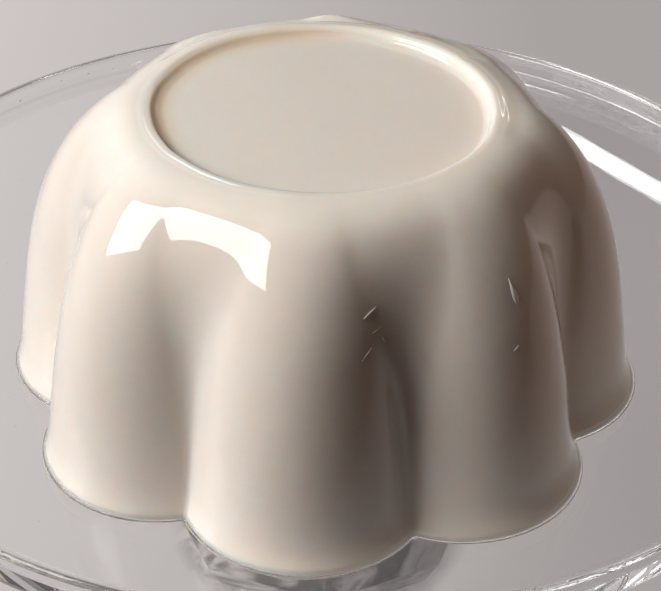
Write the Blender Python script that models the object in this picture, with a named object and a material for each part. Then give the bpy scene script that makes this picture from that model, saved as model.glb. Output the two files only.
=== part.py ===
"""A turned-out blancmange with eight lobes, standing on its clear glass cake stand.

Metres, +Z up. The origin is the middle of the foot, on the table, and the blancmange
stands a little in front of the middle of the plate (towards -Y).
"""

import math

import bmesh
import bpy
from mathutils import Vector

# --- the glass cake stand ---
PLATE_TOP = 0.096            # height of the plate's upper face above the table
PLATE_RADIUS = 0.1418        # outside of the raised rim
PLATE_THICKNESS = 0.0050
RIM_HEIGHT = 0.0063          # rim above the plate's upper face
RIM_THICKNESS = 0.0032
RIM_FILLET = 0.0012          # where the rim meets the plate's upper face
UNDERSIDE_ROUND = 0.0030     # rounding of the plate's lower outer corner
NECK_TOP_RADIUS = 0.046      # where the neck's flare meets the plate's underside
NECK_RADIUS = 0.034          # where that flare begins
NECK_DROP = 0.012
STEM_RADIUS = 0.017          # narrowest part of the stem
STEM_DROP = 0.042            # from the plate's upper face down to the narrowest part
SHOULDER_RADIUS = 0.040      # upper edge of the foot
SHOULDER_DROP = 0.0757
FOOT_RADIUS = 0.0480         # widest part of the foot, across its corners
FOOT_DROP = 0.0847
FOOT_BASE_RADIUS = 0.043
FOOT_BASE_EDGE = 0.0015      # small bevel round the flat that touches the table
FOOT_SIDES = 8
FOOT_TURN = math.radians(47)
STAND_SEGMENTS = 64

# --- the blancmange ---
LOBES = 8
LOBE_TURN = math.radians(-94.6)    # direction of the front lobe's crest
CREST_RADIUS = 0.0800
VALLEY_RADIUS = 0.0694
HEIGHT = 0.0770
LIP_RADIUS = 0.0418          # inner edge of the round top
DRAFT = 0.125                # how much the sides lean in, per unit of height
SHOULDER_OUT = 2.1           # roundness of the shoulder, sideways
SHOULDER_UP = 3.8            # roundness of the shoulder, upwards
FLUTE_GROWTH = 0.06          # the valleys cut this much deeper near the top
CREASE = 0.0015              # softness of the valleys at the base
CREASE_GROWTH = 0.020        # and how much softer they are at the top
FLARE = 0.0018               # the foot spreads where it sat on the mould's edge
FLARE_HEIGHT = 0.0080
RECESS_DEPTH = 0.0034
RECESS_EDGE = 0.0012         # rounding of the lip into the recess
RECESS_FILLET = 0.0022       # rounding of the recess wall into its floor
OFFSET_Y = -0.0414           # the blancmange's middle, from the plate's middle
REST_GAP = 0.0003
SEGMENTS_PER_LOBE = 14
SIDE_ROWS = 17
ROW_EASING = 2.2             # the rows of the side lie closer together towards the round top
FLARE_ROWS = 4
CORNER_ROWS = 3

TAU = 2.0 * math.pi


def clear_scene():
    for item in list(bpy.data.objects):
        bpy.data.objects.remove(item, do_unlink=True)


def material(name, color, roughness, transmission=0.0, ior=1.45):
    made = bpy.data.materials.new(name)
    made.use_nodes = True
    shader = made.node_tree.nodes["Principled BSDF"]
    shader.inputs["Base Color"].default_value = (*color, 1.0)
    shader.inputs["Roughness"].default_value = roughness
    shader.inputs["Metallic"].default_value = 0.0
    shader.inputs["Transmission Weight"].default_value = transmission
    shader.inputs["IOR"].default_value = ior
    return made


def arc(center_r, center_z, radius, start_deg, end_deg, rows):
    """Points of a round corner in the (radius, height) plane, both ends included."""
    points = []
    for row in range(rows + 1):
        angle = math.radians(start_deg + (end_deg - start_deg) * row / rows)
        points.append((center_r + radius * math.cos(angle), center_z + radius * math.sin(angle)))
    return points


def solid_from_rings(name, rings, finish, sharp_deg):
    """One closed solid: the rings are joined in order, and the first and last are capped flat."""
    mesh = bpy.data.meshes.new(name)
    shape = bmesh.new()
    loops = [[shape.verts.new(point) for point in ring] for ring in rings]
    count = len(loops[0])
    for lower, upper in zip(loops, loops[1:]):
        for step in range(count):
            after = (step + 1) % count
            shape.faces.new((lower[step], lower[after], upper[after], upper[step]))
    shape.faces.new(list(reversed(loops[0])))
    shape.faces.new(loops[-1])
    bmesh.ops.recalc_face_normals(shape, faces=shape.faces)
    shape.to_mesh(mesh)
    shape.free()
    mesh.materials.append(finish)
    mesh.shade_smooth()
    mesh.set_sharp_from_angle(angle=math.radians(sharp_deg))
    made = bpy.data.objects.new(name, mesh)
    bpy.context.scene.collection.objects.link(made)
    return made


# ---------------------------------------------------------------- the cake stand

def facet_radius(radius, angle, facets):
    """Radius of a figure between a circle (facets 0) and a regular polygon (facets 1)."""
    wedge = TAU / FOOT_SIDES
    off_middle = (angle - FOOT_TURN) % wedge - wedge / 2
    flat = math.cos(wedge / 2) / math.cos(off_middle)
    return radius * (1.0 - facets + facets * flat)


def smooth_run(start, end, rows):
    """Radii and heights of an S-shaped flare between two points, the first left out."""
    points = []
    for row in range(1, rows + 1):
        share = row / rows
        ease = share * share * (3.0 - 2.0 * share)
        points.append((start[0] + (end[0] - start[0]) * ease, start[1] + (end[1] - start[1]) * share))
    return points


def plate_profile():
    """From the middle of the underside's edge round the rim to the plate's upper face."""
    rim_in = PLATE_RADIUS - RIM_THICKNESS
    rim_half = RIM_THICKNESS / 2
    below = PLATE_TOP - PLATE_THICKNESS
    profile = arc(PLATE_RADIUS - UNDERSIDE_ROUND, below + UNDERSIDE_ROUND, UNDERSIDE_ROUND, -90, 0,
                  CORNER_ROWS)
    rim_turn = PLATE_TOP + RIM_HEIGHT - rim_half
    profile += arc(PLATE_RADIUS - rim_half, rim_turn, rim_half, 0, 180, 2 * CORNER_ROWS)
    profile += arc(rim_in - RIM_FILLET, PLATE_TOP + RIM_FILLET, RIM_FILLET, 0, -90, CORNER_ROWS - 1)
    return [(radius, height, 0.0) for radius, height in profile]


def pedestal_profile():
    """From the flat under the foot up to the plate's underside, with how faceted each row is."""
    below = PLATE_TOP - PLATE_THICKNESS
    foot = PLATE_TOP - FOOT_DROP
    shoulder = PLATE_TOP - SHOULDER_DROP
    stem = PLATE_TOP - STEM_DROP
    rows = [
        (FOOT_BASE_RADIUS - FOOT_BASE_EDGE, 0.0, 1.0),
        (FOOT_BASE_RADIUS, FOOT_BASE_EDGE, 1.0),
        (FOOT_RADIUS, foot, 1.0),
        (SHOULDER_RADIUS, shoulder, 1.0),
    ]
    for radius, height in smooth_run((SHOULDER_RADIUS, shoulder), (STEM_RADIUS, stem), 6):
        rows.append((radius, height, 1.0))
    neck = PLATE_TOP - NECK_DROP
    flare = smooth_run((STEM_RADIUS, stem), (NECK_RADIUS, neck), 5)
    for row, (radius, height) in enumerate(flare):
        rows.append((radius, height, 1.0 - (row + 1) / len(flare)))
    rows.append((NECK_TOP_RADIUS, below, 0.0))
    return rows


def cake_stand():
    glass = material("clear_glass", (0.93, 0.95, 0.95), 0.02, transmission=1.0, ior=1.5)
    rings = []
    for radius, height, facets in pedestal_profile() + plate_profile():
        ring = []
        for step in range(STAND_SEGMENTS):
            angle = TAU * step / STAND_SEGMENTS + FOOT_TURN
            reach = facet_radius(radius, angle, facets)
            ring.append(Vector((reach * math.cos(angle), reach * math.sin(angle), height)))
        rings.append(ring)
    return solid_from_rings("cake_stand", rings, glass, 30)


# ---------------------------------------------------------------- the blancmange

def lobe_arc():
    """Distance of a lobe's own middle from the axis, and its radius, from crest and valley."""
    half = math.pi / LOBES
    valley = VALLEY_RADIUS - CREASE / 4
    middle = (CREST_RADIUS ** 2 - valley ** 2) / (2 * (CREST_RADIUS - valley * math.cos(half)))
    return middle, CREST_RADIUS - middle


def arc_reach(turn, middle, radius):
    """Reach from the axis to a lobe's arc, a turn away from the lobe's crest."""
    inside = max(radius ** 2 - (middle * math.sin(turn)) ** 2, 0.0)
    return middle * math.cos(turn) + math.sqrt(inside)


def base_outline(angle, share):
    """Radius of the lobed outline, softer and deeper at a greater share of the height."""
    middle, radius = lobe_arc()
    wedge = TAU / LOBES
    turn = abs((angle - LOBE_TURN + wedge / 2) % wedge - wedge / 2)
    own = arc_reach(turn, middle, radius)
    neighbour = arc_reach(wedge - turn, middle, radius)
    softness = CREASE + CREASE_GROWTH * share * share
    overlap = max(softness - abs(own - neighbour), 0.0) / softness
    outline = max(own, neighbour) + overlap * overlap * softness / 4
    return CREST_RADIUS - (CREST_RADIUS - outline) * (1.0 + FLUTE_GROWTH * share)


def side_radius(angle, height):
    """Radius of the outer side at a height above the blancmange's base."""
    share = min(height / HEIGHT, 1.0)
    outline = base_outline(angle, share) - DRAFT * height
    inward = max(1.0 - share ** SHOULDER_UP, 0.0) ** (1.0 / SHOULDER_OUT)
    flare = FLARE * max(1.0 - height / FLARE_HEIGHT, 0.0) ** 2
    return LIP_RADIUS + (outline - LIP_RADIUS) * inward + flare


def side_heights():
    low = [FLARE_HEIGHT * row / FLARE_ROWS for row in range(FLARE_ROWS)]
    rest = []
    for row in range(SIDE_ROWS):
        left = 1.0 - row / (SIDE_ROWS - 1)
        rest.append(HEIGHT - (HEIGHT - FLARE_HEIGHT) * left ** ROW_EASING)
    return low + rest


def recess_profile():
    """From the lip over its edge and down the wall to the edge of the recess floor."""
    edge = arc(LIP_RADIUS, HEIGHT - RECESS_EDGE, RECESS_EDGE, 90, 180, CORNER_ROWS)
    wall = LIP_RADIUS - RECESS_EDGE
    floor = HEIGHT - RECESS_DEPTH
    fillet = arc(wall - RECESS_FILLET, floor + RECESS_FILLET, RECESS_FILLET, 0, -90, CORNER_ROWS)
    return edge[1:] + fillet


def blancmange():
    pudding = material("blancmange_cream", (0.86, 0.80, 0.71), 0.22)
    count = LOBES * SEGMENTS_PER_LOBE
    turns = [LOBE_TURN + TAU * step / count for step in range(count)]
    base = PLATE_TOP + REST_GAP
    rings = []
    for height in side_heights():
        ring = []
        for angle in turns:
            radius = side_radius(angle, height)
            ring.append(Vector((radius * math.cos(angle), OFFSET_Y + radius * math.sin(angle), base + height)))
        rings.append(ring)
    for radius, height in recess_profile():
        rings.append([
            Vector((radius * math.cos(angle), OFFSET_Y + radius * math.sin(angle), base + height))
            for angle in turns
        ])
    return solid_from_rings("blancmange", rings, pudding, 50)


clear_scene()
cake_stand()
blancmange()
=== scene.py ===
import math

import bmesh
import bpy
import numpy as np
from mathutils import Matrix, Vector
from mathutils.bvhtree import BVHTree


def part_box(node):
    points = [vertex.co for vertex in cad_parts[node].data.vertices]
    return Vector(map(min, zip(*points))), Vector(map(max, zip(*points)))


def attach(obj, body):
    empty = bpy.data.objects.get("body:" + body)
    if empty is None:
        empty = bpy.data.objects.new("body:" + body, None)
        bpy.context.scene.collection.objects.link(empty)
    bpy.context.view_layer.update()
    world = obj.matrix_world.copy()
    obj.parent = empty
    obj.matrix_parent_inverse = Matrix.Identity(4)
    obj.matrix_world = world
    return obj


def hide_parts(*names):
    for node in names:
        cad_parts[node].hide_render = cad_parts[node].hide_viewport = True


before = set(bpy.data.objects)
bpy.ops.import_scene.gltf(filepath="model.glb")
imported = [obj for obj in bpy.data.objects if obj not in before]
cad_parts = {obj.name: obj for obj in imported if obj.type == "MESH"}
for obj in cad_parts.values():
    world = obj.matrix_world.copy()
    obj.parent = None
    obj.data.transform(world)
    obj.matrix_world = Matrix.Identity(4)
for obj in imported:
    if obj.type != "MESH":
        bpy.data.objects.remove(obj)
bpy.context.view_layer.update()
puddingLow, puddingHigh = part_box("blancmange")

restGap = 0.0003  # the pudding's underside clears the glass by this much
plateTop = puddingLow.z - restGap
puddingMiddle = Vector(((puddingLow.x + puddingHigh.x) / 2, (puddingLow.y + puddingHigh.y) / 2, puddingLow.z))
fullTurn = 2 * math.pi
hair = 0.000001  # less than any real distance here
print("frame loaded, plate at", round(plateTop, 4))


# Small helpers for node trees: a number or a socket may be given for any input.

def feed(tree, socket, value):
    if isinstance(value, bpy.types.NodeSocket):
        tree.links.new(value, socket)
    else:
        socket.default_value = value


def addNode(tree, kind, inputs=None, **settings):
    node = tree.nodes.new(kind)
    for name, value in settings.items():
        setattr(node, name, value)
    for name, value in (inputs or {}).items():
        feed(tree, node.inputs[name], value)
    return node


def calc(tree, operation, *values):
    node = tree.nodes.new("ShaderNodeMath")
    node.operation = operation
    for socket, value in zip(node.inputs, values):
        feed(tree, socket, value)
    return node.outputs[0]


def vectorCalc(tree, operation, *values):
    return addNode(tree, "ShaderNodeVectorMath", dict(enumerate(values)), operation=operation).outputs


def scaled(tree, vector, share):
    return addNode(tree, "ShaderNodeVectorMath", {0: vector, "Scale": share}, operation="SCALE").outputs[0]


def mapRange(tree, value, span, onto):
    sockets = {"Value": value, "From Min": span[0], "From Max": span[1], "To Min": onto[0], "To Max": onto[1]}
    return addNode(tree, "ShaderNodeMapRange", sockets).outputs[0]


def mixColors(tree, share, first, second):
    # the node has sockets for each kind of value: those for colours are in places 6 and 7, the result in 2
    sockets = {"Factor": share, 6: first, 7: second}
    return addNode(tree, "ShaderNodeMix", sockets, data_type="RGBA", clamp_factor=True).outputs[2]


def startTree(name, sizes):
    tree = bpy.data.node_groups.new(name, "GeometryNodeTree")
    tree.interface.new_socket("Geometry", in_out="INPUT", socket_type="NodeSocketGeometry")
    for label in sizes:
        tree.interface.new_socket(label, in_out="INPUT", socket_type="NodeSocketFloat")
    tree.interface.new_socket("Finish", in_out="INPUT", socket_type="NodeSocketMaterial")
    tree.interface.new_socket("Geometry", in_out="OUTPUT", socket_type="NodeSocketGeometry")
    return tree, tree.nodes.new("NodeGroupInput").outputs


def endTree(tree, geometry, finish):
    # every tree ends the same way: instances made real, shaded smooth, and its finish set
    realized = addNode(tree, "GeometryNodeRealizeInstances", {"Geometry": geometry})
    smooth = addNode(tree, "GeometryNodeSetShadeSmooth", {"Geometry": realized.outputs["Geometry"]})
    painted = addNode(tree, "GeometryNodeSetMaterial", {"Geometry": smooth.outputs["Geometry"],
                                                        "Material": finish})
    tree.links.new(painted.outputs["Geometry"], tree.nodes.new("NodeGroupOutput").inputs["Geometry"])


def makeObject(name, mesh):
    made = bpy.data.objects.new(name, mesh)
    bpy.context.scene.collection.objects.link(made)
    return made


def grownFrom(name, blank, tree, sizes):
    # runs a geometry tree on a blank mesh and keeps only the plain mesh that comes out
    made = makeObject(name, blank)
    modifier = made.modifiers.new(tree.name, "NODES")
    modifier.node_group = tree
    for item in tree.interface.items_tree:
        if item.in_out == "INPUT" and item.name in sizes:
            modifier[item.identifier] = sizes[item.name]
    graph = bpy.context.evaluated_depsgraph_get()
    grown = bpy.data.meshes.new_from_object(made.evaluated_get(graph), depsgraph=graph)
    made.modifiers.remove(modifier)
    made.data = grown
    grown.name = name
    bpy.data.meshes.remove(blank)
    return made


def turnedMesh(name, rows, steps, reach=None):
    # rows of (radius, height) turned round +Z; the first and last are points on the axis
    points = [(0.0, 0.0, rows[0][1])]
    for radius, height in rows[1:-1]:
        for step in range(steps):
            angle = fullTurn * step / steps
            points.append((radius * math.cos(angle), radius * math.sin(angle), height))
    points.append((0.0, 0.0, rows[-1][1]))
    faces = []
    last = len(points) - 1
    for step in range(steps):
        after = (step + 1) % steps
        faces.append((0, 1 + after, 1 + step))
        faces.append((last, last - steps + step, last - steps + after))
        for row in range(len(rows) - 3):
            low = 1 + row * steps
            faces.append((low + step, low + after, low + steps + after, low + steps + step))
    mesh = bpy.data.meshes.new(name)
    mesh.from_pydata(points, [], faces)
    if reach is not None:
        spread = [reach[0]] + [share for share in reach[1:-1] for step in range(steps)] + [reach[-1]]
        mesh.attributes.new("reach", "FLOAT", "POINT").data.foreach_set("value", spread)
    mesh.update()
    return mesh


def ringMesh(name, profile, steps):
    # a closed profile of (radius, height) points, counter-clockwise, turned round +Z; reach is 1 all over
    points = []
    faces = []
    count = len(profile)
    for step in range(steps):
        angle = fullTurn * step / steps
        here, there = count * step, count * ((step + 1) % steps)
        for row, (radius, height) in enumerate(profile):
            points.append((radius * math.cos(angle), radius * math.sin(angle), height))
            above = (row + 1) % count
            faces.append((here + row, there + row, there + above, here + above))
    mesh = bpy.data.meshes.new(name)
    mesh.from_pydata(points, [], faces)
    mesh.attributes.new("reach", "FLOAT", "POINT").data.foreach_set("value", [1.0] * len(points))
    mesh.update()
    return mesh


def bend(middleRadius, middleHeight, size, startDeg, endDeg, rows):
    # the points of a round corner in a profile
    found = []
    for row in range(rows + 1):
        angle = math.radians(startDeg + (endDeg - startDeg) * row / rows)
        found.append((middleRadius + size * math.cos(angle), middleHeight + size * math.sin(angle)))
    return found


# The finishes

def newMaterial(name):
    made = bpy.data.materials.new(name)
    made.use_nodes = True
    made.node_tree.nodes.clear()
    return made, made.node_tree


def endMaterial(tree, surface):
    out = addNode(tree, "ShaderNodeOutputMaterial")
    tree.links.new(surface.outputs[0], out.inputs["Surface"])


def makeWaverGroup():
    # slow swells and fine ripples of a surface that was cast wet or fire-polished
    group = bpy.data.node_groups.new("surfaceWaver", "ShaderNodeTree")
    group.interface.new_socket("Vector", in_out="INPUT", socket_type="NodeSocketVector")
    for label in ("Swell Scale", "Ripple Scale", "Ripple"):
        group.interface.new_socket(label, in_out="INPUT", socket_type="NodeSocketFloat")
    group.interface.new_socket("Height", in_out="OUTPUT", socket_type="NodeSocketFloat")
    given = group.nodes.new("NodeGroupInput").outputs
    swell = addNode(group, "ShaderNodeTexNoise", {"Vector": given["Vector"], "Scale": given["Swell Scale"]})
    ripple = addNode(group, "ShaderNodeTexNoise", {"Vector": given["Vector"], "Scale": given["Ripple Scale"]})
    small = calc(group, "MULTIPLY", ripple.outputs[0], given["Ripple"])
    total = calc(group, "ADD", swell.outputs[0], small)
    group.links.new(total, group.nodes.new("NodeGroupOutput").inputs["Height"])
    return group


waverGroup = makeWaverGroup()


def waveredNormal(tree, place, finish):
    waver = addNode(tree, "ShaderNodeGroup", {
        "Vector": place, "Swell Scale": finish["swellScale"], "Ripple Scale": finish["rippleScale"],
        "Ripple": finish["ripple"]}, node_tree=waverGroup)
    bump = addNode(tree, "ShaderNodeBump", {
        "Distance": finish["waverDepth"], "Height": waver.outputs["Height"]})
    return bump.outputs["Normal"]


puddingFinish = {
    "cream": (0.868, 0.794, 0.722, 1.0),
    "creamDeep": (0.848, 0.764, 0.682, 1.0),
    "paintedWallShade": (0.86, 0.70, 0.54, 1.0),  # painted shade: the tan the recess wall is coloured where it lies in shade and light reaches it only through the pudding
    "mottleScale": 38.0,
    "mottleDetail": 3.0,
    "swellScale": 55.0,
    "rippleScale": 420.0,
    "ripple": 0.05,
    "waverDepth": 0.00012,
    "glow": 0.0040,  # how far light travels under the skin, in metres
    "glowTint": (1.0, 0.74, 0.58),
    "roughness": 0.08,
    "ior": 1.36,
    "mirror": 0.12,  # the skin itself mirrors little, the wet film on it more
    "wetFilm": 1.0,
    "wetGloss": 0.010,
    "wetIor": 1.48,
    "paintedTopLightSpan": (0.1680, 0.1710),  # painted light: the round top is made paler where light falls on it from above: from the first height, and fully at the second
    "paintedTopLight": 1.09,
}


def makePuddingMaterial():
    chosen = puddingFinish
    made, tree = newMaterial("setMilkCream")
    place = addNode(tree, "ShaderNodeTexCoord").outputs["Object"]
    mottle = addNode(tree, "ShaderNodeTexNoise", {
        "Vector": place, "Scale": chosen["mottleScale"], "Detail": chosen["mottleDetail"]})
    cream = mixColors(tree, mottle.outputs[0], chosen["cream"], chosen["creamDeep"])
    # painted shade: the recess wall is tinted tan where it lies in shade, as if lit only through the pudding
    paintedWallShadeMask = addNode(tree, "ShaderNodeAttribute", attribute_name="paintedWallShadeMask").outputs["Fac"]
    creamWithPaintedShade = mixColors(tree, paintedWallShadeMask, cream, chosen["paintedWallShade"])
    # painted light: the base colour is lightened towards the round top
    rise = addNode(tree, "ShaderNodeSeparateXYZ", {0: place}).outputs["Z"]
    paler = mapRange(tree, rise, chosen["paintedTopLightSpan"], (1.0, chosen["paintedTopLight"]))
    bumped = waveredNormal(tree, place, chosen)
    skin = addNode(tree, "ShaderNodeBsdfPrincipled", {
        "Base Color": scaled(tree, creamWithPaintedShade, paler), "Normal": bumped, "Coat Normal": bumped,
        "Roughness": chosen["roughness"], "IOR": chosen["ior"], "Specular IOR Level": chosen["mirror"],
        "Subsurface Weight": 1.0, "Subsurface Radius": chosen["glowTint"], "Subsurface Scale": chosen["glow"],
        "Coat Weight": chosen["wetFilm"], "Coat Roughness": chosen["wetGloss"], "Coat IOR": chosen["wetIor"]})
    endMaterial(tree, skin)
    return made


glassFinish = {
    "color": (0.99, 0.992, 0.995, 1.0),
    "ior": 1.5,
    "swellScale": 7.0,
    "rippleScale": 35.0,
    "ripple": 0.03,
    "waverDepth": 0.00012,
}

moistureFinish = {
    "color": (0.98, 0.97, 0.95, 1.0),
    "ior": 1.34,
    "swellScale": 60.0,
    "rippleScale": 300.0,
    "ripple": 0.03,
    "waverDepth": 0.00005,
}


def makeClearMaterial(name, finish):
    # clear glass or liquid: its own shadow lets the light through
    made, tree = newMaterial(name)
    place = addNode(tree, "ShaderNodeTexCoord").outputs["Object"]
    clear = addNode(tree, "ShaderNodeBsdfPrincipled", {
        "Base Color": finish["color"], "Roughness": 0.0, "IOR": finish["ior"], "Transmission Weight": 1.0,
        "Normal": waveredNormal(tree, place, finish)})
    through = addNode(tree, "ShaderNodeBsdfTransparent")
    shadowRay = addNode(tree, "ShaderNodeLightPath").outputs["Is Shadow Ray"]
    either = addNode(tree, "ShaderNodeMixShader", {
        "Fac": shadowRay, 1: clear.outputs[0], 2: through.outputs[0]})
    endMaterial(tree, either)
    return made


markFinish = {
    "color": (0.80, 0.72, 0.66, 1.0),
    "roughness": 0.12,
    "ior": 1.5,
    "wetFilm": 1.0,
    "wetGloss": 0.02,
}


def makeMarkMaterial():
    chosen = markFinish
    made, tree = newMaterial("wetMilkEdge")
    wet = addNode(tree, "ShaderNodeBsdfPrincipled", {
        "Base Color": chosen["color"], "Roughness": chosen["roughness"], "IOR": chosen["ior"],
        "Coat Weight": chosen["wetFilm"], "Coat Roughness": chosen["wetGloss"]})
    endMaterial(tree, wet)
    return made


puddingMaterial = makePuddingMaterial()
markMaterial = makeMarkMaterial()
glassMaterial = makeClearMaterial("pressedClearGlass", glassFinish)
moistureMaterial = makeClearMaterial("clearWhey", moistureFinish)
print("finishes made")


# The blancmange: a plain round blank is turned first, and the geometry tree below gives it its lobes

pudding = {
    "lobes": 8,
    "crestTurnDeg": -94.6,  # direction of the front lobe's crest
    "crestRadius": 0.0800,
    "valleyRadius": 0.0694,
    "lipRadius": 0.0418,
    "lean": 0.125,
    "shoulderOut": 2.1,
    "shoulderUp": 3.8,
    "fluteGrowth": 0.55,
    "crease": 0.0015,
    "creaseGrowth": 0.032,
    "flare": 0.0018,
    "flareHeight": 0.0080,
    "recessDepth": 0.0034,
    "recessEdge": 0.0014,
    "recessFillet": 0.0020,
    "unevenness": 0.0006,
    "unevenScale": 28.0,
    "stepsAround": 480,
    "rowsBelow": 6,
    "rowsUp": 92,
    "rowEasing": 1.8,  # the rows lie closer together towards the round top
    "rowsOfLip": 60,
    "lipRowsFrom": 0.20,
    "rowsOfCorner": 10,
    "rowsOfFloor": 12,
}
pudding["height"] = puddingHigh.z - puddingLow.z


def puddingRows():
    # (radius, height, reach) of the blank: reach says how much of the lobes a row takes on
    size = pudding
    height = size["height"]

    def sideRow(level):
        inward = max(1 - (level / height) ** size["shoulderUp"], 0.0) ** (1 / size["shoulderOut"])
        flare = size["flare"] * max(1 - level / size["flareHeight"], 0.0) ** 2
        return size["lipRadius"] + flare, level, inward

    rows = [(0.0, 0.0, 0.0)]
    for row in range(1, size["rowsBelow"]):
        share = row / size["rowsBelow"]
        radius, level, inward = sideRow(0.0)
        rows.append((radius * share, 0.0, inward * share))
    lipLevel = height * (1 - size["lipRowsFrom"] ** size["shoulderOut"]) ** (1 / size["shoulderUp"])
    for row in range(size["rowsUp"]):
        left = 1 - row / size["rowsUp"]
        rows.append(sideRow(lipLevel * (1 - left ** size["rowEasing"])))
    for row in range(size["rowsOfLip"]):
        inward = size["lipRowsFrom"] * (1 - row / (size["rowsOfLip"] - 1))
        rows.append(sideRow(height * (1 - inward ** size["shoulderOut"]) ** (1 / size["shoulderUp"])))
    edge, fillet, corner = size["recessEdge"], size["recessFillet"], size["rowsOfCorner"]
    wall = size["lipRadius"] - edge
    floor = height - size["recessDepth"]
    over = bend(size["lipRadius"], height - edge, edge, 90, 180, corner)
    under = bend(wall - fillet, floor + fillet, fillet, 0, -90, corner)
    rows += [(radius, level, 0.0) for radius, level in over[1:] + under]
    floorEdge = rows[-1][0]
    for row in range(size["rowsOfFloor"] - 1, 0, -1):
        rows.append((floorEdge * row / size["rowsOfFloor"], floor, 0.0))
    rows.append((0.0, floor, 0.0))
    return rows


def lobeReach(tree, turn, middle, size):
    # reach from the axis to one lobe's round, a turn away from its crest
    sideways = calc(tree, "MULTIPLY", middle, calc(tree, "SINE", turn))
    squared = calc(tree, "MULTIPLY", size, size)
    inside = calc(tree, "SUBTRACT", squared, calc(tree, "MULTIPLY", sideways, sideways))
    outward = calc(tree, "SQRT", calc(tree, "MAXIMUM", inside, 0.0))
    return calc(tree, "ADD", calc(tree, "MULTIPLY", middle, calc(tree, "COSINE", turn)), outward)


def lobedOutline(tree, given, angle, share):
    wedge = calc(tree, "DIVIDE", fullTurn, given["Lobes"])
    halfWedge = calc(tree, "MULTIPLY", wedge, 0.5)
    turned = calc(tree, "ADD", calc(tree, "SUBTRACT", angle, given["Crest Turn"]), halfWedge)
    fromCrest = calc(tree, "SUBTRACT", calc(tree, "FLOORED_MODULO", turned, wedge), halfWedge)
    turn = calc(tree, "ABSOLUTE", fromCrest)
    own = lobeReach(tree, turn, given["Lobe Middle"], given["Lobe Size"])
    neighbour = lobeReach(tree, calc(tree, "SUBTRACT", wedge, turn), given["Lobe Middle"], given["Lobe Size"])
    growth = calc(tree, "MULTIPLY", given["Crease Growth"], calc(tree, "MULTIPLY", share, share))
    softness = calc(tree, "ADD", given["Crease"], growth)
    apart = calc(tree, "ABSOLUTE", calc(tree, "SUBTRACT", own, neighbour))
    meeting = calc(tree, "MAXIMUM", calc(tree, "SUBTRACT", softness, apart), 0.0)
    overlap = calc(tree, "DIVIDE", meeting, softness)
    quarter = calc(tree, "MULTIPLY", softness, 0.25)
    rounding = calc(tree, "MULTIPLY", calc(tree, "MULTIPLY", overlap, overlap), quarter)
    outline = calc(tree, "ADD", calc(tree, "MAXIMUM", own, neighbour), rounding)
    depth = calc(tree, "SUBTRACT", given["Crest Radius"], outline)
    deeper = calc(tree, "MULTIPLY_ADD", share, given["Flute Growth"], 1.0)
    return calc(tree, "SUBTRACT", given["Crest Radius"], calc(tree, "MULTIPLY", depth, deeper))


def lobeTree():
    tree, given = startTree("flutedMould", (
        "Lobes", "Crest Turn", "Lobe Middle", "Lobe Size", "Crest Radius", "Crease", "Crease Growth",
        "Flute Growth", "Lean", "Lip Radius", "Height", "Unevenness", "Uneven Scale"))
    position = addNode(tree, "GeometryNodeInputPosition").outputs[0]
    parts = addNode(tree, "ShaderNodeSeparateXYZ", {0: position}).outputs
    angle = calc(tree, "ARCTAN2", parts["Y"], parts["X"])
    outline = lobedOutline(tree, given, angle, calc(tree, "DIVIDE", parts["Z"], given["Height"]))
    leaned = calc(tree, "SUBTRACT", outline, calc(tree, "MULTIPLY", given["Lean"], parts["Z"]))
    beyondLip = calc(tree, "SUBTRACT", leaned, given["Lip Radius"])
    named = addNode(tree, "GeometryNodeInputNamedAttribute", {"Name": "reach"}, data_type="FLOAT")
    outward = addNode(tree, "ShaderNodeCombineXYZ", {0: parts["X"], 1: parts["Y"]}).outputs[0]
    direction = vectorCalc(tree, "NORMALIZE", outward)[0]
    swell = addNode(tree, "ShaderNodeTexNoise", {"Vector": position, "Scale": given["Uneven Scale"]})
    uneven = calc(tree, "MULTIPLY", calc(tree, "SUBTRACT", swell.outputs[0], 0.5), given["Unevenness"])
    push = calc(tree, "MULTIPLY", named.outputs["Attribute"], calc(tree, "ADD", beyondLip, uneven))
    offset = scaled(tree, direction, push)
    moved = addNode(tree, "GeometryNodeSetPosition", {"Geometry": given["Geometry"], "Offset": offset})
    endTree(tree, moved.outputs["Geometry"], given["Finish"])
    return tree


def lobeSizes():
    # a lobe's own middle and radius, so that neighbours meet in a valley of the stated depth
    size = pudding
    half = math.pi / size["lobes"]
    valley = size["valleyRadius"] - size["crease"] / 4
    middle = (size["crestRadius"] ** 2 - valley ** 2) / (2 * (size["crestRadius"] - valley * math.cos(half)))
    return middle, size["crestRadius"] - middle


flutedMould = lobeTree()


def fluted(name, blank, finish):
    size = pudding
    lobeMiddle, lobeSize = lobeSizes()
    made = grownFrom(name, blank, flutedMould, {
        "Lobes": float(size["lobes"]), "Crest Turn": math.radians(size["crestTurnDeg"]),
        "Lobe Middle": lobeMiddle, "Lobe Size": lobeSize, "Crest Radius": size["crestRadius"],
        "Crease": size["crease"], "Crease Growth": size["creaseGrowth"], "Flute Growth": size["fluteGrowth"],
        "Lean": size["lean"], "Lip Radius": size["lipRadius"], "Height": size["height"],
        "Unevenness": size["unevenness"], "Uneven Scale": size["unevenScale"], "Finish": finish})
    made.data.transform(Matrix.Translation(puddingMiddle))
    return made


def makeBlancmange():
    rows = puddingRows()
    profile, reach = [row[:2] for row in rows], [row[2] for row in rows]
    blank = turnedMesh("blancmangeBlank", profile, pudding["stepsAround"], reach)
    return fluted("blancmange_pudding", blank, puddingMaterial)


# Where the mould's edge left its marks: a fine bead round the lip, a step outside it at the back right, a
# second ridge behind it, two small tears, and an edge that is a little proud at the front left. The recess
# is wider and shallower at the left, with a softer wall. Turns run from +X, in degrees: a feature's are
# where it starts, where it ends, and how softly it does both.

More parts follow.
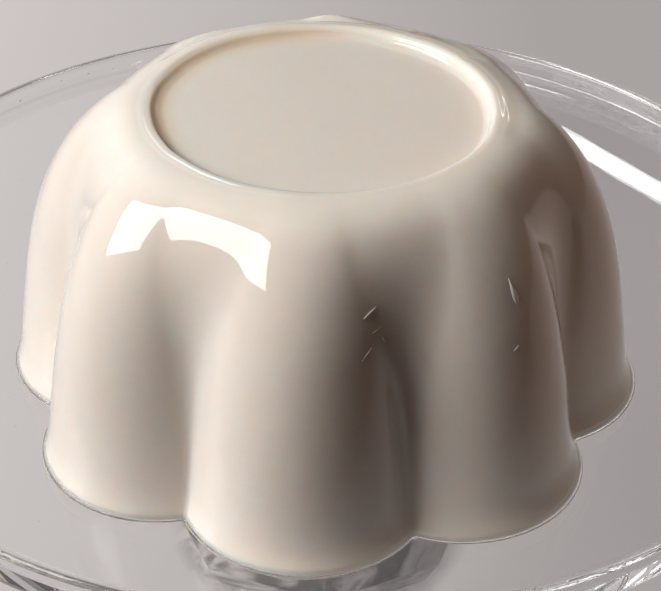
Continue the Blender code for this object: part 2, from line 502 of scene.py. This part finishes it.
lip = {
    "beadFrom": 0.0005,  # outside of the lip's own edge
    "beadRun": 0.0014,
    "beadDrop": 0.00010,
    "stepDrop": 0.00032,
    "stepFrom": 0.0022,
    "stepTurns": (-20.0, 70.0, 16.0),
    "stepRun": 0.0036,
    "fade": 0.0080,
    "backFrom": 0.0022,
    "backRun": 0.0025,
    "backDrop": 0.0009,
    "backTurns": (72.0, 150.0, 18.0),
    "ridgeTurns": (82.0, 93.0, 10.0),
    "ridgeRise": 0.0009,
    "ridgeOut": 0.0068,
    "ridgeWide": 0.0016,
    "wallRun": 0.06,  # how much the recess wall slopes, and how much more at the left
    "softTurns": (104.0, 206.0, 24.0),
    "softRun": 0.26,
    "glintTurns": (196.0, 250.0, 22.0),  # the lip is a little proud there, with a sharp outer edge
    "glintDrop": 0.00030,
    "glintRun": 0.00045,
    "tiltRise": 0.0021,  # the recess floor rises by this much towards the left
    "tiltTurnDeg": 165.0,
    "paintedShadeTurns": (88.0, 208.0, 30.0),  # painted shade: the wall is coloured tan where it lies in shade and light reaches it only through the pudding
    "paintedShadeIn": 0.0027,
    "paintedShadeWide": 0.0019,
    "tears": ((57.0, 2.4, 0.0014), (33.5, 2.0, 0.0011)),  # direction, half-width in degrees, depth
    "wander": 0.00008,
    "waves": ((5, 1.0, 1.0), (11, 2.3, 0.7), (23, 0.7, 0.5)),  # of the wander: how many, start, share
    "widen": 0.0009,  # the recess reaches further out at the left
    "widenTurns": (110.0, 235.0, 50.0),
    "sharpTurnDeg": 245.0,  # its edge is sharper round this direction
    "seamDeg": -100.0,  # turns are counted on from here, so that each feature is in one piece
    "topShare": 0.6,  # of the height: what lies above is the round top
}


def smoothStep(value):
    value = np.clip(value, 0, 1)
    return value * value * (3 - 2 * value)


def between(turns, span):
    start, end, soft = span
    return smoothStep((turns - start) / soft + 0.5) * smoothStep((end - turns) / soft + 0.5)


def readSpots(made):
    spots = np.empty(3 * len(made.data.vertices))
    made.data.vertices.foreach_get("co", spots)
    return spots.reshape(-1, 3)


def writeSpots(made, spots):
    made.data.vertices.foreach_set("co", spots.ravel())
    made.data.update()


def fromMiddle(spots):
    across, along = spots[:, 0] - puddingMiddle.x, spots[:, 1] - puddingMiddle.y
    return across, along, np.hypot(across, along), np.degrees(np.arctan2(along, across))


def shapeLip(made):
    size = lip
    height, lipRadius = pudding["height"], pudding["lipRadius"]
    spots = readSpots(made)
    across, along, reach, turns = fromMiddle(spots)
    turns = np.where(turns < size["seamDeg"], turns + 360, turns)
    angle = np.radians(turns)
    level = spots[:, 2] - puddingMiddle.z
    wander = sum(share * np.sin(count * angle + start) for count, start, share in size["waves"])
    wander = size["wander"] * wander
    beyond = reach - lipRadius + wander
    for direction, halfWidth, tear in size["tears"]:
        beyond = beyond + tear * np.exp(-((turns - direction) / halfWidth) ** 2)
    onTop = level > size["topShare"] * height
    inside = onTop & (reach <= lipRadius + hair)
    outside = onTop & ~inside

    # outside the lip: how far the skin drops, or rises to the ridge
    fade = 1 - smoothStep((beyond - size["beadFrom"] - size["beadRun"]) / size["fade"])
    edge = smoothStep((beyond - size["beadFrom"]) / size["beadRun"])
    step = smoothStep((beyond - size["stepFrom"]) / size["stepRun"]) * between(turns, size["stepTurns"])
    back = smoothStep((beyond - size["backFrom"]) / size["backRun"]) * between(turns, size["backTurns"])
    ridge = np.exp(-((beyond - size["ridgeOut"]) / size["ridgeWide"]) ** 2)
    ridge = ridge * between(turns, size["ridgeTurns"])
    glint = smoothStep(beyond / size["glintRun"]) * between(turns, size["glintTurns"])
    drop = fade * (size["beadDrop"] * edge + size["stepDrop"] * step + size["backDrop"] * back
                   + size["glintDrop"] * glint)
    lowered = np.where(outside, level - drop + size["ridgeRise"] * ridge, level)
    spots[:, 2] = puddingMiddle.z + np.minimum(lowered, height)

    # the recess: its wall slopes and wanders, and its floor rises towards the left
    depth = height - level
    sway = wander - size["widen"] * between(turns, size["widenTurns"])
    sway = sway * np.where(inside, (reach / lipRadius) ** 8, onTop * fade)
    slope = size["wallRun"] + size["softRun"] * between(turns, size["softTurns"])
    inward = np.where(inside, slope * depth * reach / lipRadius, 0.0) + sway
    share = 1 - inward / np.maximum(reach, hair)
    tilt = np.cos(angle - math.radians(size["tiltTurnDeg"])) * reach / lipRadius
    lift = size["tiltRise"] * (0.5 + 0.5 * tilt) * depth / pudding["recessDepth"]
    into = (lipRadius - reach) / pudding["recessEdge"]
    sharp = smoothStep(2 * np.cos(angle - math.radians(size["sharpTurnDeg"])))
    keen = depth * sharp * (1 - np.clip(into, 0, 1) ** 3)
    spots[:, 2] += np.where(inside, lift * np.clip(into, 0, 1) + keen, 0.0)
    spots[:, 2] = np.minimum(spots[:, 2], puddingHigh.z)
    spots[:, 0] = puddingMiddle.x + across * share
    spots[:, 1] = puddingMiddle.y + along * share
    writeSpots(made, spots)

    # painted shade on the recess wall: a tan tint where it lies in shade, handed to the finish as an
    # attribute
    paintedWallShadeMask = np.exp(-((lipRadius - reach - size["paintedShadeIn"]) / size["paintedShadeWide"]) ** 2)
    paintedWallShadeMask = np.where(inside, paintedWallShadeMask * between(turns, size["paintedShadeTurns"]), 0.0)
    tint = made.data.attributes.new("paintedWallShadeMask", "FLOAT", "POINT")
    tint.data.foreach_set("value", paintedWallShadeMask.astype(np.float32))


# The foot spreads over the mould's edge at the right, and stands straight at the left

footing = {
    "trim": 0.0011,
    "trimTurns": (96.0, 256.0, 34.0),
}


def shapeFoot(made):
    size = footing
    spots = readSpots(made)
    across, along, reach, turns = fromMiddle(spots)
    low = np.clip(1 - (spots[:, 2] - puddingMiddle.z) / pudding["flareHeight"], 0, 1) ** 2
    outer = np.clip(reach / pudding["valleyRadius"], 0, 1)
    trim = size["trim"] * low * between(turns % 360, size["trimTurns"]) * outer
    share = 1 - trim / np.maximum(reach, hair)
    spots[:, 0] = puddingMiddle.x + across * share
    spots[:, 1] = puddingMiddle.y + along * share
    writeSpots(made, spots)


# Small raised marks on the skin: direction and height of both ends, width, how far they stand out, and
# how much wider the second end is

marks = (
    (-81.8, 0.0582, -78.7, 0.0597, 0.00040, 0.00030, -0.4),
    (-81.6, 0.0583, -80.1, 0.0585, 0.00050, 0.00028, 0.0),
    (-82.4, 0.0499, -80.1, 0.0517, 0.00026, 0.00020, 0.0),
    (-77.9, 0.0528, -77.2, 0.0514, 0.00028, 0.00020, 0.0),
    (-80.1, 0.0545, -77.9, 0.0550, 0.00020, 0.00010, 0.0),
    (-51.0, 0.0613, -50.4, 0.0555, 0.00130, 0.00050, 0.85),
    (-53.3, 0.0460, -52.0, 0.0470, 0.00030, 0.00022, 0.0),
)


def makeMarks(made):
    # each mark is a slim half-sunk ellipsoid lying on the skin between its two ends
    skin = BVHTree.FromObject(made, bpy.context.evaluated_depsgraph_get())
    shape = bmesh.new()
    for startTurn, startLevel, endTurn, endLevel, wide, proud, widening in marks:
        ends = []
        for turnDeg, level in ((startTurn, startLevel), (endTurn, endLevel)):
            turn = math.radians(turnDeg)
            outward = Vector((math.cos(turn), math.sin(turn), 0.0))
            start = puddingMiddle + 0.2 * outward + Vector((0, 0, level))  # well outside the skin
            ends.append(skin.ray_cast(start, -outward)[:2])
        along = ends[1][0] - ends[0][0]
        up = (ends[0][1] + ends[1][1]).normalized()
        side = up.cross(along).normalized()
        up = along.cross(side).normalized()
        turned = Matrix((along.normalized(), side, up)).transposed().to_4x4()
        turned.translation = (ends[0][0] + ends[1][0]) / 2
        placed = turned @ Matrix.Diagonal((along.length / 2, wide / 2, proud, 1.0))
        ball = bmesh.ops.create_icosphere(shape, subdivisions=3, radius=1.0)
        for vertex in ball["verts"]:
            vertex.co.y *= 1 + widening * vertex.co.x
            vertex.co = placed @ vertex.co
    for face in shape.faces:
        face.smooth = True
    mesh = bpy.data.meshes.new("mould_marks")
    shape.to_mesh(mesh)
    shape.free()
    mesh.materials.append(markMaterial)
    return makeObject("mould_marks", mesh)


blancmange = makeBlancmange()
shapeLip(blancmange)
shapeFoot(blancmange)
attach(blancmange, "root")
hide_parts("blancmange")
print("blancmange made,", len(blancmange.data.polygons), "faces")

mouldMarks = makeMarks(blancmange)
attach(mouldMarks, "root")


# The moisture drawn up round the pudding's foot, clear and hollow outside as drawn-up water is

bead = {
    "wide": 0.0006,
    "tall": 0.0006,
    "thin": 0.00008,  # at its outer edge
    "inside": 0.0007,  # how far it runs on under the skin
    "sunk": 0.00005,  # into the glass, so that no gap shows
    "steps": 8,
}


def makeBead():
    size = bead
    foot = pudding["lipRadius"] + pudding["flare"]
    low = -restGap - size["sunk"]
    brim = low + size["thin"]
    profile = [(foot - size["inside"], low), (foot + size["wide"], low)]
    for step in range(size["steps"] + 1):
        angle = math.radians(90 * step / size["steps"])
        outward = size["wide"] * (1 - math.sin(angle))
        profile.append((foot + outward, brim + size["tall"] * (1 - math.cos(angle))))
    profile.append((foot - size["inside"], brim + size["tall"]))
    blank = ringMesh("beadBlank", profile, pudding["stepsAround"])
    return fluted("moisture_bead", blank, moistureMaterial)


moistureBead = makeBead()
shapeFoot(moistureBead)
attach(moistureBead, "root")
print("moisture bead made")


# The glass cake stand, finer than its solid: same profile, many more steps round

stand = {
    "plateRadius": 0.1418,
    "plateThickness": 0.0050,
    "rimHeight": 0.0063,
    "rimThickness": 0.0032,
    "rimFillet": 0.0012,
    "undersideRound": 0.0030,
    "neckTopRadius": 0.046,
    "neckRadius": 0.034,
    "neckDrop": 0.012,
    "stemRadius": 0.017,
    "stemDrop": 0.042,
    "shoulderRadius": 0.040,
    "shoulderDrop": 0.0757,
    "footRadius": 0.0480,
    "footDrop": 0.0847,
    "footBaseRadius": 0.043,
    "footBaseEdge": 0.0015,
    "footSides": 8,
    "footTurnDeg": 47,
    "stepsAround": 288,
    "cornerRows": 8,
    "flareRows": 14,
    "rimBubbles": 150.0,
    "rimBubbleSize": 0.00026,
    "rimBubbleInset": (0.0026, 0.0007),  # from the plate's outside
    "rimBubbleRise": (-0.0022, 0.0045),  # above the plate's upper face
    "rimBubbleSeed": 11,
    "plateBubbles": 70.0,
    "plateBubbleSize": 0.00011,
    "plateBubbleInset": (0.1118, 0.006),
    "plateBubbleRise": (-0.0042, -0.0008),
    "plateBubbleSeed": 31,
    "bubbleLeast": (0.4, 0.5, 0.4),  # some bubbles are small, and some are drawn out
    "bubbleMost": (1.0, 2.4, 1.0),
    "sharpDeg": 30,  # edges that turn by more than this stay crisp
}


def smoothRun(start, end, rows):
    found = []
    for row in range(1, rows + 1):
        share = row / rows
        ease = share * share * (3 - 2 * share)
        found.append((start[0] + (end[0] - start[0]) * ease, start[1] + (end[1] - start[1]) * share))
    return found


def standRows():
    # (radius, height, facets): facets is 1 where the row has eight flat sides and 0 where it is round
    size = stand
    below = plateTop - size["plateThickness"]
    shoulder = (size["shoulderRadius"], plateTop - size["shoulderDrop"])
    waist = (size["stemRadius"], plateTop - size["stemDrop"])
    neck = (size["neckRadius"], plateTop - size["neckDrop"])
    base = size["footBaseRadius"]
    rows = [(0.0, 0.0, 1.0), (base - size["footBaseEdge"], 0.0, 1.0), (base, size["footBaseEdge"], 1.0)]
    rows += [(size["footRadius"], plateTop - size["footDrop"], 1.0), (*shoulder, 1.0)]
    rows += [(*row, 1.0) for row in smoothRun(shoulder, waist, size["flareRows"])]
    flare = smoothRun(waist, neck, size["flareRows"])
    rows += [(*row, 1 - (step + 1) / len(flare)) for step, row in enumerate(flare)]
    rim = size["rimThickness"] / 2
    rimIn = size["plateRadius"] - size["rimThickness"]
    corner = size["undersideRound"]
    firm = 0.0004  # a narrow row beside each flat keeps its shading flat
    outer = [(size["neckTopRadius"], below), (size["neckTopRadius"] + firm, below)]
    outer.append((size["plateRadius"] - corner - firm, below))
    outer += bend(size["plateRadius"] - corner, below + corner, corner, -90, 0, size["cornerRows"])
    brim = plateTop + size["rimHeight"] - rim
    outer += bend(size["plateRadius"] - rim, brim, rim, 0, 180, 2 * size["cornerRows"])
    fillet = size["rimFillet"]
    outer += bend(rimIn - fillet, plateTop + fillet, fillet, 0, -90, size["cornerRows"])
    outer.append((rimIn - fillet - firm, plateTop))
    rows += [(*row, 0.0) for row in outer]
    rows.append((0.0, plateTop, 0.0))
    return rows


def randomBetween(tree, low, high, seed):
    # the node has sockets for each kind of value: those for numbers are in places 2 and 3, the result in 1
    node = addNode(tree, "FunctionNodeRandomValue", {2: low, 3: high, "Seed": seed}, data_type="FLOAT")
    return node.outputs[1]


def someBubbles(tree, count, inset, rise, size, seed):
    # small round and drawn-out hollows in a ring of the glass, between two radii and two heights
    turn = randomBetween(tree, 0.0, fullTurn, seed)
    far = randomBetween(tree, *(stand["plateRadius"] - depth for depth in inset), seed + 1)
    across = calc(tree, "MULTIPLY", far, calc(tree, "COSINE", turn))
    along = calc(tree, "MULTIPLY", far, calc(tree, "SINE", turn))
    level = randomBetween(tree, *(plateTop + up for up in rise), seed + 2)
    spot = addNode(tree, "ShaderNodeCombineXYZ", {0: across, 1: along, 2: level})
    points = addNode(tree, "GeometryNodePoints", {"Count": count, "Position": spot.outputs[0]})
    ball = addNode(tree, "GeometryNodeMeshIcoSphere", {"Subdivisions": 2, "Radius": size})
    heading = addNode(tree, "ShaderNodeCombineXYZ", {2: turn})
    drawn = addNode(tree, "FunctionNodeRandomValue", {
        0: stand["bubbleLeast"], 1: stand["bubbleMost"], "Seed": seed + 3}, data_type="FLOAT_VECTOR")
    placed = addNode(tree, "GeometryNodeInstanceOnPoints", {
        "Points": points.outputs[0], "Instance": ball.outputs["Mesh"], "Rotation": heading.outputs[0],
        "Scale": drawn.outputs[0]})
    real = addNode(tree, "GeometryNodeRealizeInstances", {"Geometry": placed.outputs[0]})
    return addNode(tree, "GeometryNodeFlipFaces", {"Mesh": real.outputs[0]}).outputs[0]


def bubbleTree():
    tree, given = startTree("glassBubbles", (
        "Rim Bubbles", "Rim Bubble Size", "Plate Bubbles", "Plate Bubble Size"))
    joined = addNode(tree, "GeometryNodeJoinGeometry")
    tree.links.new(given["Geometry"], joined.inputs[0])
    rim = someBubbles(tree, given["Rim Bubbles"], stand["rimBubbleInset"], stand["rimBubbleRise"],
                      given["Rim Bubble Size"], stand["rimBubbleSeed"])
    inner = someBubbles(tree, given["Plate Bubbles"], stand["plateBubbleInset"], stand["plateBubbleRise"],
                        given["Plate Bubble Size"], stand["plateBubbleSeed"])
    tree.links.new(rim, joined.inputs[0])
    tree.links.new(inner, joined.inputs[0])
    endTree(tree, joined.outputs[0], given["Finish"])
    return tree


def makeCakeStand():
    size = stand
    rows = standRows()
    mesh = turnedMesh("standBlank", [row[:2] for row in rows], size["stepsAround"])
    wedge = fullTurn / size["footSides"]
    turn = math.radians(size["footTurnDeg"])
    place = 1
    for facets in [row[2] for row in rows[1:-1]]:
        for step in range(size["stepsAround"]):
            spot = mesh.vertices[place].co
            offMiddle = (fullTurn * step / size["stepsAround"]) % wedge - wedge / 2
            flat = math.cos(wedge / 2) / math.cos(offMiddle)
            reach = 1 - facets + facets * flat
            spot.x, spot.y = spot.x * reach, spot.y * reach
            place += 1
    mesh.transform(Matrix.Rotation(turn, 4, "Z"))
    made = grownFrom("cake_stand_glass", mesh, bubbleTree(), {
        "Rim Bubbles": size["rimBubbles"], "Rim Bubble Size": size["rimBubbleSize"],
        "Plate Bubbles": size["plateBubbles"], "Plate Bubble Size": size["plateBubbleSize"],
        "Finish": glassMaterial})
    made.data.set_sharp_from_angle(angle=math.radians(size["sharpDeg"]))
    return made


cakeStand = makeCakeStand()
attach(cakeStand, "root")
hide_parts("cake_stand")
print("cake stand made,", len(cakeStand.data.polygons), "faces")


# The room: a pale floor that glows with painted light and shade, a dark card before the window, and the air
# that the glass and the wet skin mirror

room = {
    "floorSize": 6.0,
    "floorMiddle": (0.485, 0.449, 0.444),
    "floorFall": 1.9,  # share of brightness lost per metre towards +X, away from the window
    "floorLeast": 0.80,  # and no darker than this share
    "floorMost": 1.5,
    "floorMirrored": 0.95,  # the most that the wet skin mirrors of it
    "frontSpan": (-0.30, -0.15),  # the paper ends before the stand: dark beyond, clear from
    "frontShade": 0.28,
    "floorGlow": (0.20, 0.092, 0.050),  # what the floor sends back to the pudding as soft light
    "glowTurnDeg": 54.0,  # most of it comes from this side
    "glowFrom": 0.3,
    "glowLeast": 0.30,
    "glowMore": 5.0,
    "footSpan": (0.038, 0.0475),  # painted shadow under the foot: dark as far as, clear from
    "footShade": 0.10,
    "footPatchScale": 62.0,  # the painted shadow is broken there into grey patches, as the foot's facets would break it
    "footPatchDetail": 3.0,
    "footSwirl": 1.6,
    "footPatchEdge": (0.42, 0.60),
    "footPatches": (0.24, 1.1),
    "footRightSpan": (-0.035, 0.03),  # and painted darker towards the right
    "footRight": 0.27,
    "floorSheet": (0.8, 0.78, 0.77, 1.0),  # its colour as paper that takes light and shadow
    "floorShade": 0.06,  # and how much of it is such paper
    "sillFar": 0.30,  # an unseen low dark card before the window: the foot of the left lobes gets less of it
    "sillTall": 0.20,
    "sillWide": 1.2,
    "sillColor": (0.01, 0.01, 0.01, 1.0),
    "airGlow": (0.006, 0.004, 0.0035, 1.0),  # what the air sends to the pudding as soft light
    "airNear": (0.22, 0.205, 0.20, 1.0),  # what is mirrored of it: paler before the stand,
    "airFar": (0.07, 0.066, 0.064, 1.0),  # dark behind and above it,
    "airStart": 0.42,
    "airSlopes": {"Y": 0.62, "X": -0.50, "Z": 0.45},
    "airLeft": (0.62, 0.60, 0.60, 1.0),  # and pale behind it at the left
    "airLeftSpan": (0.02, -0.14),
    "airBackSpan": (0.45, 0.65),
    "bounces": 96,  # light runs far inside the plate
}

shoulderMiddle = puddingMiddle + Vector((0, 0, pudding["height"] * 0.8))
skirtMiddle = puddingMiddle + Vector((0, 0, pudding["height"] * 0.2))
plainLight = (1.0, 1.0, 1.0)
everyRay = ("diffuse", "glossy", "transmission")

# Each lamp stands off from its aim, turned and raised as given, and only the named rays meet it: the window,
# the part of it that shows through the plate's rim, soft light from the ceiling, a little warm light that
# comes in low over the rim at the right, and a strip at the back, which the plate mirrors

lamps = {
    "windowPanel": {"aim": shoulderMiddle, "turnDeg": -167.7, "riseDeg": 35.2, "leanDeg": 30.0, "far": 1.5,
                    "wide": 1.02, "tall": 0.95, "power": 25.8, "tint": plainLight,
                    "rays": ("diffuse", "glossy")},
    "rimPanel": {"aim": shoulderMiddle, "turnDeg": -150.0, "riseDeg": 35.2, "leanDeg": 0.0, "far": 1.5,
                 "wide": 0.40, "tall": 0.40, "power": 4.5, "tint": plainLight, "rays": ("transmission",)},
    "ceilingFill": {"aim": shoulderMiddle, "turnDeg": 165.0, "riseDeg": 50.0, "leanDeg": 0.0, "far": 1.5,
                    "wide": 1.4, "tall": 1.4, "power": 5.8, "tint": (1.0, 0.84, 0.70), "rays": ("diffuse",)},
    "warmSide": {"aim": skirtMiddle, "turnDeg": 8.0, "riseDeg": 3.0, "leanDeg": 0.0, "far": 0.35,
                 "wide": 0.16, "tall": 0.05, "power": 0.078, "tint": (1.0, 0.72, 0.50), "rays": ("diffuse",)},
    "backStrip": {"aim": (0.1019, 0.0459, 0.096), "turnDeg": 77.3, "riseDeg": 30.80, "leanDeg": -23.0,
                  "far": 1.6, "wide": 0.27, "tall": 0.0200, "power": 0.085, "tint": plainLight,
                  "rays": everyRay},
}


def makeCard(name, corners, finish):
    mesh = bpy.data.meshes.new(name)
    mesh.from_pydata(corners, [], [(0, 1, 2, 3)])
    mesh.materials.append(finish)
    return makeObject(name, mesh)


def seenFloor(tree, place, path):
    # what shows of the floor, all painted light and shade: paler towards the window, dark before the stand, a
    # patchy painted shadow under the foot
    spots = addNode(tree, "ShaderNodeSeparateXYZ", {0: place}).outputs
    level = calc(tree, "SUBTRACT", 1.0, calc(tree, "MULTIPLY", spots["X"], room["floorFall"]))
    mirrored = calc(tree, "SUBTRACT", path["Is Glossy Ray"], path["Is Transmission Ray"])
    mirrored = calc(tree, "MAXIMUM", mirrored, 0.0)
    most = calc(tree, "MULTIPLY_ADD", mirrored, room["floorMirrored"] - room["floorMost"], room["floorMost"])
    level = calc(tree, "MINIMUM", calc(tree, "MAXIMUM", level, room["floorLeast"]), most)
    front = mapRange(tree, spots["Y"], room["frontSpan"], (room["frontShade"], 1.0))
    level = calc(tree, "MULTIPLY", level, front)
    under = vectorCalc(tree, "LENGTH", place)["Value"]
    shade = mapRange(tree, under, room["footSpan"], (room["footShade"], 1.0))
    swirl = addNode(tree, "ShaderNodeTexNoise", {
        "Vector": place, "Scale": room["footPatchScale"], "Detail": room["footPatchDetail"],
        "Distortion": room["footSwirl"]})
    patch = mapRange(tree, swirl.outputs[0], room["footPatchEdge"], room["footPatches"])
    dimmer = mapRange(tree, spots["X"], room["footRightSpan"], (1.0, room["footRight"]))
    left = calc(tree, "MULTIPLY", calc(tree, "SUBTRACT", 1.0, shade), dimmer)
    level = calc(tree, "MULTIPLY", level, calc(tree, "MULTIPLY_ADD", left, patch, shade))
    return scaled(tree, room["floorMiddle"], level)


def sentFloor(tree, place):
    # what the floor sends to the pudding as soft light, most of it from one side
    apart = vectorCalc(tree, "SUBTRACT", place, puddingMiddle)[0]
    flat = vectorCalc(tree, "MULTIPLY", apart, (1.0, 1.0, 0.0))[0]
    toward = vectorCalc(tree, "NORMALIZE", flat)[0]
    turn = math.radians(room["glowTurnDeg"])
    facing = vectorCalc(tree, "DOT_PRODUCT", toward, (math.cos(turn), math.sin(turn), 0.0))["Value"]
    beyond = calc(tree, "MAXIMUM", calc(tree, "SUBTRACT", facing, room["glowFrom"]), 0.0)
    level = calc(tree, "MULTIPLY_ADD", beyond, room["glowMore"], room["glowLeast"])
    return scaled(tree, room["floorGlow"], level)


def makeFloor():
    # painted light: the floor glows rather than takes light; its glow paints what is seen of it and the soft
    # light it sends to the pudding, and only a small share is paper that takes light and shadow
    made, tree = newMaterial("paleFloorGlow")
    place = addNode(tree, "ShaderNodeTexCoord").outputs["Object"]
    path = addNode(tree, "ShaderNodeLightPath").outputs
    color = mixColors(tree, path["Is Diffuse Ray"], seenFloor(tree, place, path), sentFloor(tree, place))
    glow = addNode(tree, "ShaderNodeEmission", {"Color": color})
    sheet = addNode(tree, "ShaderNodeBsdfDiffuse", {"Color": room["floorSheet"]})
    both = addNode(tree, "ShaderNodeMixShader", {
        "Fac": room["floorShade"], 1: glow.outputs[0], 2: sheet.outputs[0]})
    endMaterial(tree, both)
    made.cycles.emission_sampling = "NONE"
    half = room["floorSize"] / 2
    return makeCard("floor", [(-half, -half, 0), (half, -half, 0), (half, half, 0), (-half, half, 0)], made)


def makeSill():
    turn = math.radians(lamps["windowPanel"]["turnDeg"])
    toward = Vector((math.cos(turn), math.sin(turn), 0.0))
    side = Vector((-toward.y, toward.x, 0.0)) * room["sillWide"] / 2
    foot = Vector((puddingMiddle.x, puddingMiddle.y, 0.0)) + room["sillFar"] * toward
    up = Vector((0, 0, room["sillTall"]))
    made, tree = newMaterial("darkCard")
    endMaterial(tree, addNode(tree, "ShaderNodeBsdfDiffuse", {"Color": room["sillColor"]}))
    sill = makeCard("windowSill", [foot - side, foot + side, foot + side + up, foot - side + up], made)
    sill.visible_camera = sill.visible_glossy = sill.visible_transmission = False
    return sill


def makePanel(name, size):
    lamp = bpy.data.lights.new(name, "AREA")
    lamp.shape = "RECTANGLE"
    lamp.size = size["wide"]
    lamp.size_y = size["tall"]
    lamp.energy = size["power"]
    lamp.color = size["tint"]
    turn = math.radians(size["turnDeg"])
    rise = math.radians(size["riseDeg"])
    toLamp = Vector((math.cos(turn) * math.cos(rise), math.sin(turn) * math.cos(rise), math.sin(rise)))
    lean = Matrix.Rotation(math.radians(size["leanDeg"]), 3, "Z")
    made = makeObject(name, lamp)
    made.location = Vector(size["aim"]) + size["far"] * toLamp
    made.rotation_euler = (toLamp.to_track_quat("Z", "Y").to_matrix() @ lean).to_euler()
    made.visible_camera = False
    for ray in everyRay:
        setattr(made, "visible_" + ray, ray in size["rays"])


floor = makeFloor()
makeSill()
for name, size in lamps.items():
    makePanel(name, size)


def makeAir():
    world = bpy.data.worlds.new("dimRoom")
    world.use_nodes = True
    tree = world.node_tree
    toward = addNode(tree, "ShaderNodeTexCoord").outputs["Generated"]
    parts = addNode(tree, "ShaderNodeSeparateXYZ", {0: toward}).outputs
    share = room["airStart"]
    for axis, slope in room["airSlopes"].items():
        share = calc(tree, "MULTIPLY_ADD", parts[axis], slope, share)
    mirrored = mixColors(tree, share, room["airNear"], room["airFar"])
    leftSide = mapRange(tree, parts["X"], room["airLeftSpan"], (0.0, 1.0))
    backSide = mapRange(tree, parts["Y"], room["airBackSpan"], (0.0, 1.0))
    mirrored = mixColors(tree, calc(tree, "MULTIPLY", leftSide, backSide), mirrored, room["airLeft"])
    path = addNode(tree, "ShaderNodeLightPath").outputs
    air = mixColors(tree, path["Is Diffuse Ray"], mirrored, room["airGlow"])
    tree.links.new(air, tree.nodes["Background"].inputs["Color"])
    bpy.context.scene.world = world
    bpy.context.scene.view_settings.view_transform = "Standard"
    rays = bpy.context.scene.cycles
    rays.max_bounces = rays.glossy_bounces = rays.transmission_bounces = room["bounces"]


makeAir()
print("room made")


# The camera

lens = {
    "imageWide": 661,
    "focalPixels": 1735,
    "sensorWide": 36.0,
    "distance": 0.460,  # from the middle of the pudding's base
    "riseDeg": 37.17,
    "pitchDeg": 2.14,
    "yawDeg": 0.355,
    "rollDeg": 0.54,
}


def makeCamera():
    rise = math.radians(lens["riseDeg"])
    tilt = math.radians(lens["pitchDeg"] - lens["riseDeg"])
    yaw = math.radians(lens["yawDeg"])
    roll = math.radians(lens["rollDeg"])
    base = Vector((puddingMiddle.x, puddingMiddle.y, plateTop))
    spot = base + lens["distance"] * Vector((0, -math.cos(rise), math.sin(rise)))
    ahead = Vector((math.sin(yaw) * math.cos(tilt), math.cos(yaw) * math.cos(tilt), math.sin(tilt)))
    right = ahead.cross(Vector((0, 0, 1))).normalized()
    up = right.cross(ahead)
    sideways = math.cos(roll) * right + math.sin(roll) * up
    upward = math.cos(roll) * up - math.sin(roll) * right
    turned = Matrix((sideways, upward, -ahead)).transposed().to_4x4()
    turned.translation = spot
    view = bpy.data.cameras.new("camera")
    view.sensor_width = lens["sensorWide"]
    view.lens = lens["sensorWide"] * lens["focalPixels"] / lens["imageWide"]
    made = bpy.data.objects.new("camera", view)
    made.matrix_world = turned
    bpy.context.scene.collection.objects.link(made)
    bpy.context.scene.camera = made


makeCamera()

print("scene ready")
